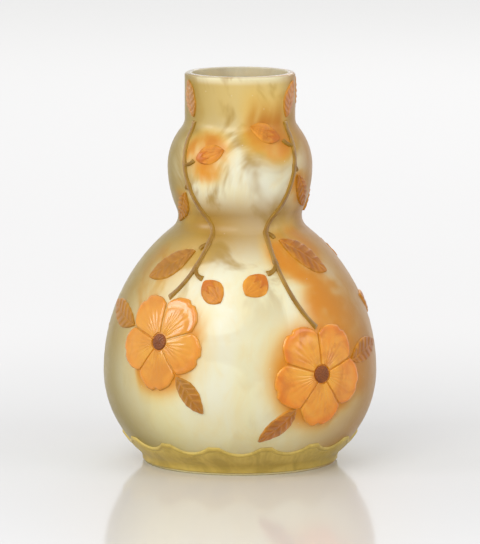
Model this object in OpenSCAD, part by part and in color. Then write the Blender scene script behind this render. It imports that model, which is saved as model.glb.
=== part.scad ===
/* [Vase] */
// Greatest radius of the round body
body_r = 70; // [66:0.5:74]
// Height of the body's widest level
body_z = 47; // [44:0.5:50]
// Radius of the curve from the foot up to the widest level
body_low_r = 53.5; // [50:0.5:60]
// Radius of the curve from the widest level up to the waist
body_up_r = 93.5; // [88:0.5:98]

/* [Neck] */
// Greatest radius of the bulb in the neck
bulb_r = 37; // [34:0.5:40]
// Height of the bulb's widest level
bulb_z = 152; // [148:0.5:156]
// Radius of the curve below the bulb's widest level
bulb_low_r = 54; // [50:0.5:60]
// Radius of the curve above the bulb's widest level
bulb_up_r = 31; // [29:0.5:34]
// Radius of the hollow curve of the waist, between body and bulb
waist_curve_r = 8.5; // [6:0.5:12]
// Outer radius of the straight collar
collar_r = 28.2; // [26:0.2:31]
// Height of the straight collar, from its hollow curve to the rim
collar_length = 23.3; // [21:0.1:50]
// Radius of the hollow curve between bulb and collar
collar_curve_r = 8; // [5:0.5:12]

/* [Foot] */
// Radius of the foot, without the band round it
foot_r = 49.2; // [46:0.2:52]
// Radius of the hollow curve between foot and body
foot_curve_r = 6; // [4:0.5:8]
// Thickness of the glass floor
floor_t = 9; // [7:0.5:14]
// Width of the ring that the vase stands on
ring_w = 5; // [3:0.5:8]
// Depth of the recess inside the standing ring
recess_depth = 2; // [1:0.25:3]
// Radius of the polished dish in the middle of the recess
dish_r = 14; // [8:0.5:20]
// Depth of the polished dish
dish_depth = 1.5; // [0.5:0.25:2]

/* [Glass layers] */
// Thickness of the clear lining
casing_t = 1.2; // [0.8:0.1:1.8]
// Thickness of the pale ground layer
ground_t = 2.6; // [2:0.1:3.4]
// Thickness of the coloured overlay that is left standing
overlay_t = 1.2; // [0.8:0.1:1.6]
// Width of the line etched between two pieces of overlay
etch_gap = 0.7; // [0.5:0.1:1]

/* [Blossoms] */
// Radius of a full blossom, out to its petal tips
blossom_r = 27; // [24:0.5:28]
// Radius of a petal's round lobe
lobe_r = 12; // [11:0.5:13]
// Radius of the blossom's heart
heart_r = 4.4; // [3:0.2:5]
// Radius of the notch in a petal's tip
notch_r = 2.2; // [1.4:0.2:3]

/* [Leaves and stems] */
// Length of a leaf
leaf_length = 27; // [22:0.5:29]
// Width of a leaf
leaf_w = 11.5; // [9:0.5:13]
// Length of a bud
bud_length = 15; // [12:0.5:16]
// Width of a bud
bud_w = 9.5; // [7:0.5:11]
// Width of a stem
stem_w = 2.2; // [1.6:0.1:3]

/* [Foot band] */
// Height of the band round the foot
band_h = 15; // [12:0.5:17]
// Height of the band's lower edge above the table
band_lift = 1; // [0.6:0.1:2]
// Radius of the scallops along the band's upper edge
scallop_r = 18; // [14:1:22]
// Depth of the scallops
scallop_depth = 3.6; // [2:0.2:5]
// Number of scallops
scallops = 14; // [12:1:16]

/* [Hidden] */
$fn = 96;
overrun = 1;
half_turn = 180;
// Greatest angle between neighbouring points of the profile's arcs
arc_step = 5;
// Radius of the swellings at a stem's joints and ends, as a share of its width
knot_share = 0.6;
// How far the stem stands to one side under the collar, as a share of the collar's radius
stem_top_share = 0.3;
// How far it stands to the other side at the waist, and bows out above it, as shares of the bulb's radius
stem_waist_share = 0.12;
neck_sag_share = 0.13;
// How far a stalk bows out, as a share of its own length
stalk_sag_share = 0.15;
petals = 5;
petal_turn = 360 / petals;
// A radius just past everything
clear_r = body_r + overlay_t + overrun;

// Sprays of ornament, one after another to the right as the vase is seen
sprays = ["front_left", "front_right", "back_right", "back_left"];
spray_turns = [-37, 36, 128, 219];
// Which way each spray leans
spray_sides = [-1, 1, -1, 1];
// Each blossom's height, as a share of the widest level's height
blossom_level_shares = [1.47, 1.13, 1.42, 1.2];
// Each blossom's size, as a share of the full blossom
blossom_size_shares = [0.92, 1, 0.96, 0.9];
// How far each spray's shoots are tipped from their usual angles
spray_tilts = [0, -5, 6, -3];
// How much further along the stem each spray's shoots branch off, as a share of its stretch
spray_slip_shares = [0.1, -0.08, 0.04, -0.03];

// Shoots that branch off a spray's stem, each carrying a leaf or a bud
shoots = ["bulb_leaf", "bulb_bud", "shoulder_leaf", "shoulder_bud"];
shoot_is_bud = [false, true, false, true];
// Where each branches off: how far down the neck, or down the shoulder, of that stretch of stem
shoot_on_neck = [true, true, false, false];
shoot_root_shares = [0.5, 0.3, 0.2, 0.45];
// Angle of each shoot from level, in a spray that leans right
shoot_angles = [-58, 160, -32, 221];
// Length of each shoot's stalk, as a share of a leaf's length
stalk_shares = [0.12, 0.24, 0.14, 0.3];
// Angle of the leaf that stands on the collar above the stem
collar_leaf_angle = 75;
// Size of each leaf, as a share of the full leaf
neck_leaf_share = 0.72;
low_leaf_share = 0.84;

// Centres of the profile's arcs, as radius and height
body_low_c = [body_r - body_low_r, body_z];
body_up_c = [body_r - body_up_r, body_z];
bulb_low_c = [bulb_r - bulb_low_r, bulb_z];
bulb_up_c = [bulb_r - bulb_up_r, bulb_z];
waist_c = crossing(body_up_c, body_up_r + waist_curve_r, bulb_low_c, bulb_low_r + waist_curve_r);
collar_c = beside(bulb_up_c, bulb_up_r + collar_curve_r, collar_r + collar_curve_r, 1);
foot_c = beside(body_low_c, body_low_r + foot_curve_r, foot_r + foot_curve_r, -1);
// Height of the rim above the table
height = collar_c.y + collar_length;

// The crossing of two circles that lies further from the axis
function crossing(a, ra, b, rb) =
    let (d = norm(b - a), x = (d * d + ra * ra - rb * rb) / (2 * d), u = (b - a) / d)
    a + x * u + sqrt(ra * ra - x * x) * [u.y, -u.x];

// The point at radius x and distance r from a, above it (side 1) or below it (side -1)
function beside(a, r, x, side) = [x, a.y + side * sqrt(r * r - (x - a.x) * (x - a.x))];

function along(angle) = [cos(angle), sin(angle)];
// Direction from a to b, from 0 to 360 degrees
function bearing(a, b) = (atan2(b.y - a.y, b.x - a.x) + 360) % 360;
function turned(v, angle) = [v.x * cos(angle) - v.y * sin(angle), v.x * sin(angle) + v.y * cos(angle)];

// Centre of the arc from p to q that bows out to the left by sag
function arc_centre(p, q, sag) =
    let (chord = q - p, half = norm(chord) / 2)
    (p + q) / 2 + turned(chord, 90) / norm(chord) * (sag * sag - half * half) / (2 * sag);

// The point a share of the way along that arc
function on_arc(p, q, sag, share) =
    let (c = arc_centre(p, q, sag), sweep = 4 * atan(2 * sag / norm(q - p)))
    c + turned(p - c, -sweep * share);

// The layers of glass

// Points along an arc, without its last one, which begins the next arc
function arc(c, r, from, to) =
    let (steps = ceil(abs(to - from) / arc_step))
    [for (k = [0:steps - 1]) c + r * along(from + (to - from) * k / steps)];

// Outline of the vase's half section up to the level top, with its outside drawn in by inset
function outline(inset, top) =
    let (
        foot_up = bearing(foot_c, body_low_c),
        body_low = bearing(body_low_c, foot_c) - 360,
        body_up = bearing(body_up_c, waist_c),
        waist_top = bearing(waist_c, bulb_low_c),
        bulb_low = bearing(bulb_low_c, waist_c) - 360,
        bulb_up = bearing(bulb_up_c, collar_c)
    )
    concat(
        [[0, 0], [foot_r - inset, 0]],
        arc(foot_c, foot_curve_r + inset, half_turn, foot_up),
        arc(body_low_c, body_low_r - inset, body_low, 0),
        arc(body_up_c, body_up_r - inset, 0, body_up),
        arc(waist_c, waist_curve_r + inset, body_up + half_turn, waist_top),
        arc(bulb_low_c, bulb_low_r - inset, bulb_low, 0),
        arc(bulb_up_c, bulb_up_r - inset, 0, bulb_up),
        arc(collar_c, collar_curve_r + inset, bulb_up + half_turn, half_turn),
        [[collar_r - inset, collar_c.y], [collar_r - inset, top], [0, top]]
    );

// The vase as one solid between two levels, with its outside drawn in by inset
module turned_solid(inset, bottom, top) {
    rotate_extrude() intersection() {
        polygon(outline(inset, top));
        translate([0, bottom]) square([clear_r, top - bottom]);
    }
}

module inner_casing() {
    color("ivory") difference() {
        turned_solid(ground_t, floor_t - casing_t, height);
        turned_solid(ground_t + casing_t, floor_t, height + overrun);
    }
}

module ground_glass() {
    dish_ball_r = (dish_r * dish_r + dish_depth * dish_depth) / (2 * dish_depth);
    color("khaki") difference() {
        turned_solid(0, 0, height);
        turned_solid(ground_t, floor_t - casing_t, height + overrun);
        translate([0, 0, -overrun]) cylinder(r = foot_r - ring_w, h = recess_depth + overrun);
        translate([0, 0, recess_depth + dish_depth - dish_ball_r]) sphere(dish_ball_r);
    }
}

// A coloured layer over the ground glass, left where the outline in front of it falls on it
module overlay(turn) {
    difference() {
        intersection() {
            turned_solid(-overlay_t, 0, height);
            rotate([90, 0, turn]) linear_extrude(clear_r) children();
        }
        turned_solid(0, 0, height);
    }
}

// Round bite out of a straight upper edge at the origin
module scallop() {
    intersection() {
        translate([0, scallop_r - scallop_depth]) circle(scallop_r);
        translate([-scallop_r, -scallop_depth]) square([2 * scallop_r, scallop_depth + overrun]);
    }
}

module foot_band() {
    color("olive") difference() {
        turned_solid(-overlay_t, band_lift, band_lift + band_h);
        turned_solid(0, 0, height);
        for (k = [0:scallops - 1])
            rotate([90, 0, 360 * k / scallops])
                translate([0, band_lift + band_h, foot_c.x]) linear_extrude(body_r - foot_r) scallop();
    }
}

// The outlines of the ornament

// Band of one width along an arc, with a round swelling at each end
module band(p, q, sag, w) {
    c = arc_centre(p, q, sag);
    r = norm(p - c);
    intersection() {
        translate(c) difference() {
            circle(r + w / 2);
            circle(r - w / 2);
        }
        polygon([c, 2 * p - c, 2 * on_arc(p, q, sag, 1 / 2) - c, 2 * q - c]);
    }
    translate(p) circle(w * knot_share);
    translate(q) circle(w * knot_share);
}

// Pointed oval, its two sides arcs
module pointed(long, wide) {
    r = (long * long + wide * wide) / (4 * wide);
    intersection() {
        translate([0, wide / 2 - r]) circle(r);
        translate([0, r - wide / 2]) circle(r);
    }
}

// Leaf or bud whose base is at p, pointing along the angle
module sprout(p, angle, long, wide) {
    translate(p) rotate(angle) translate([long / 2, 0]) pointed(long, wide);
}

// One petal along +X from the blossom's centre
module petal(size) {
    r = blossom_r * size;
    lobe = lobe_r * size;
    edge = petal_turn / 2;
    reach = r / cos(edge);
    difference() {
        intersection() {
            translate([r - lobe, 0]) circle(lobe);
            translate([etch_gap / 2 / sin(edge), 0])
                polygon([[0, 0], reach * along(-edge), reach * along(edge)]);
        }
        circle(heart_r * size + etch_gap);
        translate([r + notch_r / 2, 0]) circle(notch_r);
    }
}

// The places of the ornament in one spray, measured sideways from its middle line and up

// An angle as it is in a spray that leans right, for a spray that leans either way
function aim(i, angle) = 90 - spray_sides[i] * (90 - angle - spray_tilts[i]);

function blossom_at(i) = [0, body_z * blossom_level_shares[i]];
// Distance from a full blossom's centre to the clefts between its petals
cleft_r = let (lobe_x = blossom_r - lobe_r, edge = petal_turn / 2)
    lobe_x * cos(edge) + sqrt(lobe_r * lobe_r - lobe_x * lobe_x * sin(edge) * sin(edge));

// The stem comes down the neck to the waist, and from there over the shoulder to the blossom
function stem_top(i) = [spray_sides[i] * collar_r * stem_top_share, collar_c.y];
function stem_waist(i) = [-spray_sides[i] * bulb_r * stem_waist_share, waist_c.y];
function stem_end(i) = blossom_at(i) + [0, cleft_r * blossom_size_shares[i] + etch_gap + stem_w];
function neck_sag(i) = spray_sides[i] * bulb_r * neck_sag_share;
// The second stretch sets off in the direction in which the first arrives
function shoulder_sag(i) =
    let (
        neck = stem_waist(i) - stem_top(i),
        shoulder = stem_end(i) - stem_waist(i),
        arriving = bearing([0, 0], neck) - 2 * atan(2 * neck_sag(i) / norm(neck)),
        turn = bearing([0, 0], shoulder) - arriving
    )
    -norm(shoulder) / 2 * tan(turn / 2);

function shoot_root(i, k) = let (share = shoot_root_shares[k] + spray_slip_shares[i]) shoot_on_neck[k]
    ? on_arc(stem_top(i), stem_waist(i), neck_sag(i), share)
    : on_arc(stem_waist(i), stem_end(i), shoulder_sag(i), share);
function stalk_end(i, k) =
    shoot_root(i, k) + stalk_shares[k] * leaf_length * along(aim(i, shoot_angles[k]));
function stalk_sag(k) = stalk_shares[k] * leaf_length * stalk_sag_share;

// The pieces of one spray

module stem(i) {
    color("olivedrab") overlay(spray_turns[i]) {
        band(stem_top(i), stem_waist(i), neck_sag(i), stem_w);
        band(stem_waist(i), stem_end(i), shoulder_sag(i), stem_w);
        for (k = [0:len(shoots) - 1])
            band(shoot_root(i, k), stalk_end(i, k), spray_sides[i] * stalk_sag(k), stem_w);
    }
}

module spray_petal(i, k) {
    size = blossom_size_shares[i];
    color("darkorange") overlay(spray_turns[i])
        translate(blossom_at(i)) rotate(90 + petal_turn * (k - 1 / 2)) petal(size);
}

module heart(i) {
    color("saddlebrown") overlay(spray_turns[i])
        translate(blossom_at(i)) circle(heart_r * blossom_size_shares[i]);
}

// Leaf or bud at the end of a stalk, past an etched line
module shoot(i, k) {
    angle = aim(i, shoot_angles[k]);
    start = stalk_end(i, k) + (stem_w / 2 + etch_gap) * along(angle);
    share = shoot_on_neck[k] ? neck_leaf_share : 1;
    color(shoot_is_bud[k] ? "orange" : "peru") overlay(spray_turns[i]) {
        if (shoot_is_bud[k]) sprout(start, angle, bud_length, bud_w);
        else sprout(start, angle, leaf_length * share, leaf_w * share);
    }
}

module collar_leaf(i) {
    angle = aim(i, collar_leaf_angle);
    start = stem_top(i) + (stem_w / 2 + etch_gap) * along(angle);
    color("peru") overlay(spray_turns[i])
        sprout(start, angle, leaf_length * neck_leaf_share, leaf_w * neck_leaf_share);
}

// Leaf that stands out from a cleft of the blossom, counted round from the one above
module cleft_leaf(i, cleft, share) {
    angle = aim(i, 90 + petal_turn * cleft);
    start = blossom_at(i) + (cleft_r * blossom_size_shares[i] + 2 * etch_gap) * along(angle);
    color("peru") overlay(spray_turns[i]) sprout(start, angle, leaf_length * share, leaf_w * share);
}

inner_casing();
ground_glass();
foot_band();
for (i = [0:len(sprays) - 1]) {
    spray = sprays[i];
    for (k = [1:petals])
        spray_petal(i, k);
    heart(i);
    stem(i);
    collar_leaf(i);
    cleft_leaf(i, -1, 1);
    cleft_leaf(i, 2, low_leaf_share);
    for (k = [0:len(shoots) - 1])
        shoot(i, k);
}
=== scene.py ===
# %% [markdown]
# # A cameo glass vase
# The vase is blown and cased: a clear lining inside, a pale ground layer over it, and a coloured
# overlay outside. Acid and wheels then cut the overlay away round the ornament, so each leaf, bud and
# petal is left as a low island of coloured glass. Here the layers are turned like the real ones, and
# every island is drawn flat, carved flat, and then wrapped onto the glass.

# %% Load the measured model
import math
from collections import namedtuple

import bmesh
import bpy
from mathutils import Matrix, Vector, noise


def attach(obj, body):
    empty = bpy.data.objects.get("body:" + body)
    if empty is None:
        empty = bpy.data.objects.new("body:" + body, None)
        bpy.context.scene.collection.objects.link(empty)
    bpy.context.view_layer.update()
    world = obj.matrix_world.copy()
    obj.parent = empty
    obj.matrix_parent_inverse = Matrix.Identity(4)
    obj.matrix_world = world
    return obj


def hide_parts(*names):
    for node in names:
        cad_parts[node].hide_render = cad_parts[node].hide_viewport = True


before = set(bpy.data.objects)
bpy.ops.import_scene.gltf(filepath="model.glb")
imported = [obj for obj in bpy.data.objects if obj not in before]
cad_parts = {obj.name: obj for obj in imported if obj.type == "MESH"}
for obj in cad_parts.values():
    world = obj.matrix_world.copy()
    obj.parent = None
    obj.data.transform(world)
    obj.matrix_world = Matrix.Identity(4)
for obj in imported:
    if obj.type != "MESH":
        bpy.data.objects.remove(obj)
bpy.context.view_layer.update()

# %% [markdown]
# ## The template
# A glassworker turns the outside against a wooden template. Ours is five arcs and a straight collar,
# with the same sizes in millimetres as the drawing. Each arc knows its centre, its radius, and
# whether the glass bulges out or is hollowed in along it, so that the wall's radius and the direction
# straight out of it can be asked for at any height.

# %% Sizes of the vessel, in millimetres
MM = 0.001
body_r, body_z, body_low_r, body_up_r = 70, 47, 53.5, 93.5
bulb_r, bulb_z, bulb_low_r, bulb_up_r = 37, 152, 54, 31
waist_curve_r, collar_r, collar_curve_r, collar_length = 8.5, 28.2, 8, 23.3
foot_r, foot_curve_r, floor_t, ring_w = 49.2, 6, 9, 5
recess_depth, dish_r, dish_depth = 2, 14, 1.5
casing_t, ground_t, overlay_t, etch_gap = 1.2, 2.6, 1.2, 0.7

# %% Centres of the template's arcs, as radius and height
def crossing(a, ra, b, rb):
    """The crossing of two circles that lies further from the axis."""
    d = math.dist(a, b)
    x = (d * d + ra * ra - rb * rb) / (2 * d)
    ux, uz = (b[0] - a[0]) / d, (b[1] - a[1]) / d
    h = math.sqrt(ra * ra - x * x)
    return a[0] + x * ux + h * uz, a[1] + x * uz - h * ux


def beside(a, r, x, side):
    """The point at radius x and distance r from a, above it (1) or below it (-1)."""
    return x, a[1] + side * math.sqrt(r * r - (x - a[0]) ** 2)


body_low_c = (body_r - body_low_r, body_z)
body_up_c = (body_r - body_up_r, body_z)
bulb_low_c = (bulb_r - bulb_low_r, bulb_z)
bulb_up_c = (bulb_r - bulb_up_r, bulb_z)
waist_c = crossing(body_up_c, body_up_r + waist_curve_r, bulb_low_c, bulb_low_r + waist_curve_r)
collar_c = beside(bulb_up_c, bulb_up_r + collar_curve_r, collar_r + collar_curve_r, 1)
foot_c = beside(body_low_c, body_low_r + foot_curve_r, foot_r + foot_curve_r, -1)
height = collar_c[1] + collar_length
print("height", round(height, 3), "waist centre", waist_c, "collar centre", collar_c)

# %% The wall's radius and outward direction at any height
def bearing(a, b):
    return math.degrees(math.atan2(b[1] - a[1], b[0] - a[0])) % 360


def meeting(a, ra, b):
    """Height at which the arc round a, of radius ra, hands over to the arc round b."""
    return a[1] + ra * math.sin(math.radians(bearing(a, b)))


# centre, radius, 1 where the glass bulges out or -1 where it is hollow, height where the arc ends
ARCS = [
    (foot_c, foot_curve_r, -1, meeting(foot_c, foot_curve_r, body_low_c)),
    (body_low_c, body_low_r, 1, body_z),
    (body_up_c, body_up_r, 1, meeting(body_up_c, body_up_r, waist_c)),
    (waist_c, waist_curve_r, -1, meeting(waist_c, waist_curve_r, bulb_low_c)),
    (bulb_low_c, bulb_low_r, 1, bulb_z),
    (bulb_up_c, bulb_up_r, 1, meeting(bulb_up_c, bulb_up_r, collar_c)),
    (collar_c, collar_curve_r, -1, collar_c[1]),
]


def wall(z):
    """Radius of the ground layer's outside at height z, and the direction straight out of it."""
    if z <= foot_c[1]:
        return foot_r, 1.0, 0.0
    for (cx, cz), r, bulge, end in ARCS:
        if z <= end:
            rise = (z - cz) / r
            reach = math.sqrt(max(0.0, 1 - rise * rise))
            return cx + bulge * r * reach, reach, bulge * rise
    return collar_r, 1.0, 0.0


for z in (0, 20, 47, 90, 127, 152, 170, 190):
    print("at", z, "mm the wall is at radius", round(wall(z)[0], 2))

# %% [markdown]
# ## Drawing a section with operators
# A turned solid could be typed in as a list of points, but a pen is closer to how a template is drawn:
# one vertex is the pen, a straight line is that vertex extruded, and an arc is that vertex spun round
# the arc's centre. The finished section is then spun once round the vase's axis.

# %% The pen
def straight(bm, pen, x, z):
    """Draws a straight line from the pen to radius x and height z."""
    pen = bmesh.ops.extrude_vert_indiv(bm, verts=[pen])["verts"][0]
    pen.co = (x, 0, z)
    return pen


def curve(bm, pen, centre, degrees, step=4):
    """Draws an arc round centre, turning from outwards towards up."""
    steps = max(2, math.ceil(abs(degrees) / step))
    made = bmesh.ops.spin(bm, geom=[pen], cent=(centre[0], 0, centre[1]), axis=(0, -1, 0),
                          angle=math.radians(degrees), steps=steps)
    return [g for g in made["geom_last"] if isinstance(g, bmesh.types.BMVert)][0]


# %% Turning a section
round_steps, same_place = 160, 0.0005


def in_order(bm):
    """Extruding and spinning leave edges and faces in no fixed order. Sorted by their vertices and read in
    again, they give the same mesh on every run."""
    more_than_all = 1e5

    def rank(part):
        numbers = [v.index for v in part.verts]
        return (min(numbers) * more_than_all + max(numbers)) * more_than_all + sum(numbers)

    bm.verts.index_update()
    bm.edges.sort(key=rank)
    bm.faces.sort(key=rank)
    sorted_mesh = bpy.data.meshes.new("sorted")
    bm.to_mesh(sorted_mesh)
    bm.clear()
    bm.from_mesh(sorted_mesh)
    bpy.data.meshes.remove(sorted_mesh)


def turn_round(bm):
    """Spins the drawn section once round the axis, joins the poles and faces it outwards."""
    bmesh.ops.spin(bm, geom=list(bm.verts) + list(bm.edges), cent=(0, 0, 0), axis=(0, 0, 1),
                   angle=math.tau, steps=round_steps, use_merge=True)
    in_order(bm)
    bmesh.ops.remove_doubles(bm, verts=list(bm.verts), dist=same_place)
    bmesh.ops.recalc_face_normals(bm, faces=list(bm.faces))


def is_closed(bm):
    return all(edge.is_manifold for edge in bm.edges)


# %% [markdown]
# Every piece ends the same way. Its mesh is scaled from millimetres to metres and shaded smooth, except
# where it turns sharply. It gets two finishes, first its own glass and then the one for faces that are
# fused to the next layer. Then it rides with the vase and takes the place of its node in the model.

# %% Finishing a piece
sharp_from = math.radians(48)


def linked(name, data):
    """Makes an object of a mesh, a lamp or a camera and puts it in the scene."""
    made = bpy.data.objects.new(name, data)
    bpy.context.scene.collection.objects.link(made)
    return made


def finished(bm, name, nodes, material):
    """Makes the mesh an object in metres that rides with the vase and stands for its CAD nodes."""
    bmesh.ops.scale(bm, vec=(MM, MM, MM), verts=list(bm.verts))
    mesh = bpy.data.meshes.new(name)
    for face in bm.faces:
        face.smooth = True
    bm.to_mesh(mesh)
    bm.free()
    mesh.set_sharp_from_angle(angle=sharp_from)
    mesh.materials.append(material)
    mesh.materials.append(fused_mat)
    piece = linked(name, mesh)
    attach(piece, "root")
    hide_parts(*nodes)
    return piece


# %% [markdown]
# ## Finishes
# A finish is a tree of nodes. It could be wired by hand in the editor; here a few helpers do it, so that
# one line adds a node and feeds its sockets with plain values or with what other nodes put out.

# %% Helpers: colours, nodes and wires
def srgb(r, g, b):
    """A colour as a picture editor shows it, 0 to 255, made linear for a socket."""
    parts = [c / 255 for c in (r, g, b)]
    return tuple(c / 12.92 if c <= 0.04045 else ((c + 0.055) / 1.055) ** 2.4 for c in parts) + (1.0,)


def feed(tree, socket, value):
    """Gives a socket a plain value, or links another node's output to it."""
    if isinstance(value, (int, float, tuple)):
        socket.default_value = value
    else:
        tree.links.new(value, socket)


def add(tree, kind, sockets=None, **settings):
    """Adds a node with its settings, feeds its sockets and returns its outputs."""
    made = tree.nodes.new("ShaderNode" + kind)
    for key, value in settings.items():
        setattr(made, key, value)
    for key, value in (sockets or {}).items():
        feed(tree, made.inputs[key], value)
    return made.outputs


def wire(tree, *pairs):
    for start, end in pairs:
        tree.links.new(start, end)


# %% Helpers: sums on values, and tones laid over a colour
def math_node(tree, operation, a, b, clamp=False):
    return add(tree, "Math", {0: a, 1: b}, operation=operation, use_clamp=clamp)["Value"]


def times(tree, a, b):
    return math_node(tree, "MULTIPLY", a, b)


def spread(tree, value, low, high, to_low=0.0, to_high=1.0):
    """Stretches a value from low..high to to_low..to_high, with soft ends."""
    return add(tree, "MapRange", {"Value": value, "From Min": low, "From Max": high, "To Min": to_low,
                                  "To Max": to_high}, interpolation_type="SMOOTHSTEP")["Result"]


def blend(tree, share, a, b):
    """Mixes two colours. A Mix node's colours are its sockets 6 and 7, and its output 2."""
    return add(tree, "Mix", {0: share, 6: a, 7: b}, data_type="RGBA")[2]


def laid_over(tree, colour, *layers):
    """Lays tones over a colour, one after the other, each as strongly as its share says."""
    for share, tone in layers:
        colour = blend(tree, share, colour, srgb(*tone))
    return colour


def across_and_up(tree):
    """How far a point lies to the right of the axis and above the table, in metres."""
    axes = add(tree, "SeparateXYZ", {"Vector": add(tree, "TexCoord")["Object"]})
    return axes["X"], axes["Z"]


# %% Helpers: node groups
def group(name, inputs, outputs):
    """Starts a node group with named sockets; returns its tree, what it is given and what it puts out."""
    tree = bpy.data.node_groups.new(name, "ShaderNodeTree")
    for label, kind, value in inputs:
        socket = tree.interface.new_socket(label, in_out="INPUT", socket_type="NodeSocket" + kind)
        socket.default_value = value
    for label, kind in outputs:
        tree.interface.new_socket(label, in_out="OUTPUT", socket_type="NodeSocket" + kind)
    return tree, tree.nodes.new("NodeGroupInput").outputs, tree.nodes.new("NodeGroupOutput").inputs


def use(tree, made, **values):
    """Places a node group in a material with values of its own; returns its outputs."""
    placed = tree.nodes.new("ShaderNodeGroup")
    placed.node_tree = made
    for key, value in values.items():
        placed.inputs[key].default_value = value
    return placed.outputs


# %% [markdown]
# ### What all the glasses share
# Etched glass has two scales of texture: a fine grain that scatters the light, and slow hollows where
# the acid bit deeper. Cased glass also has clouds in it, drawn out as the gather was blown, and a few
# seeds, which are tiny bubbles. And carved glass changes colour with its thickness. Each is a node
# group, so that every layer of glass can share it with values of its own. All of them read Object
# coordinates, which here are the vase's own metres.

# %% Group: acid-etched satin
satin, given, put = group("etched satin",
                          [("Least", "Float", 0.3), ("Most", "Float", 0.5), ("Grain", "Float", 700.0)],
                          [("Roughness", "Float"), ("Height", "Float")])
place = add(satin, "TexCoord")["Object"]
grain = add(satin, "TexNoise", {"Vector": place, "Scale": given["Grain"], "Detail": 3.0,
                                "Roughness": 0.6})["Fac"]
hollows = add(satin, "TexNoise", {"Vector": place, "Scale": 95.0, "Detail": 3.0, "Roughness": 0.5})["Fac"]
uneven = math_node(satin, "ADD", times(satin, grain, 0.45), times(satin, hollows, 0.55))
rough = add(satin, "MapRange", {"Value": uneven, "From Min": 0.35, "From Max": 0.65,
                                "To Min": given["Least"], "To Max": given["Most"]})["Result"]
height_of_bite = math_node(satin, "ADD", hollows, times(satin, grain, 0.06))
wire(satin, (rough, put["Roughness"]), (height_of_bite, put["Height"]))

# %% Group: clouds and seeds in blown glass
clouds, given, put = group("blown clouds",
                           [("Size", "Float", 26.0), ("Drawn", "Float", 0.45), ("Seeds", "Float", 0.05)],
                           [("Cloud", "Float"), ("Streak", "Float"), ("Seed", "Float")])
place = add(clouds, "TexCoord")["Object"]
drawn = add(clouds, "CombineXYZ", {"X": 1.0, "Y": 1.0, "Z": given["Drawn"]})["Vector"]
stretched = add(clouds, "VectorMath", {0: place, 1: drawn}, operation="MULTIPLY")["Vector"]
cloud = add(clouds, "TexNoise", {"Vector": stretched, "Scale": given["Size"], "Detail": 4.0,
                                 "Roughness": 0.55, "Distortion": 0.7})["Fac"]
streak = add(clouds, "TexNoise", {"Vector": stretched, "Scale": 60.0, "Detail": 5.0, "Roughness": 0.6,
                                  "Distortion": 1.6})["Fac"]
seed = add(clouds, "TexVoronoi", {"Vector": place, "Scale": 150.0})["Distance"]
wire(clouds, (spread(clouds, cloud, 0.32, 0.68), put["Cloud"]),
     (spread(clouds, streak, 0.4, 0.7), put["Streak"]),
     (math_node(clouds, "LESS_THAN", seed, given["Seeds"]), put["Seed"]))

# %% Group: colour by the carved thickness
carved, given, put = group("carved colour",
                           [("Thin", "Color", (1, 1, 1, 1)), ("Thick", "Color", (0, 0, 0, 1)),
                            ("Wander", "Float", 0.25)],
                           [("Colour", "Color"), ("Depth", "Float")])
depth = add(carved, "Attribute", attribute_name="carve")["Fac"]
place = add(carved, "TexCoord")["Object"]
drift = add(carved, "TexNoise", {"Vector": place, "Scale": 75.0, "Detail": 4.0, "Roughness": 0.6,
                                 "Distortion": 0.8})["Fac"]
# the noise keeps close to a half, so its wander is made four times larger
shift = times(carved, math_node(carved, "SUBTRACT", drift, 0.5), given["Wander"])
deep = math_node(carved, "ADD", depth, times(carved, shift, 4.0), clamp=True)
wire(carved, (blend(carved, deep, given["Thin"], given["Thick"]), put["Colour"]), (deep, put["Depth"]))
print("groups", [g.name for g in bpy.data.node_groups])

# %% [markdown]
# ### The ground layer
# The ground is translucent straw and cream glass. It is pale where one sees straight through the wall,
# and olive to amber where the wall is seen edge on, because the light then goes through far more glass.
# A volume that absorbs light would do that too, but slowly and with noise. So the glass is made a bright
# body that scatters most of the light and lets a fifth of it through, and Layer Weight, which says how
# far the wall turns away, brings in the deep tone of thick glass.

# %% Helpers: a new finish
def new_finish(name, values):
    """Starts a material with values for its shader's sockets; returns it, its tree and its shader."""
    made = bpy.data.materials.new(name)
    made.use_nodes = True
    shader = made.node_tree.nodes["Principled BSDF"]
    for key, value in values.items():
        shader.inputs[key].default_value = value
    return made, made.node_tree, shader


def dress(tree, shader, colour, rough, height, relief):
    """Gives a shader its colour, its roughness and a fine relief, whose depth is in metres."""
    bumps = add(tree, "Bump", {"Height": height, "Distance": relief, "Strength": 1.0})
    wire(tree, (colour, shader.inputs["Base Color"]), (rough, shader.inputs["Roughness"]),
         (bumps["Normal"], shader.inputs["Normal"]))


# %% Ground glass: cream with streaks, warmer at the sides and the foot
ground_mat, tree, shader = new_finish("etched ground glass", {
    "Transmission Weight": 0.22, "IOR": 1.5, "Specular IOR Level": 0.34, "Coat Weight": 0.15,
    "Coat Roughness": 0.2})
across, up = across_and_up(tree)
cased = use(tree, clouds, Size=21.0, Drawn=0.5, Seeds=0.045)
colour = blend(tree, cased["Cloud"], srgb(255, 255, 236), srgb(255, 251, 212))
colour = laid_over(tree, colour, (times(tree, cased["Streak"], 0.35), (255, 232, 166)),
                   (spread(tree, across, 0.03, -0.075, 0.0, 0.35), (248, 234, 150)),
                   (spread(tree, across, 0.035, 0.075, 0.0, 0.4), (254, 218, 116)),
                   (spread(tree, up, 0.06, 0.0, 0.0, 0.35), (250, 232, 130)))

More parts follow.
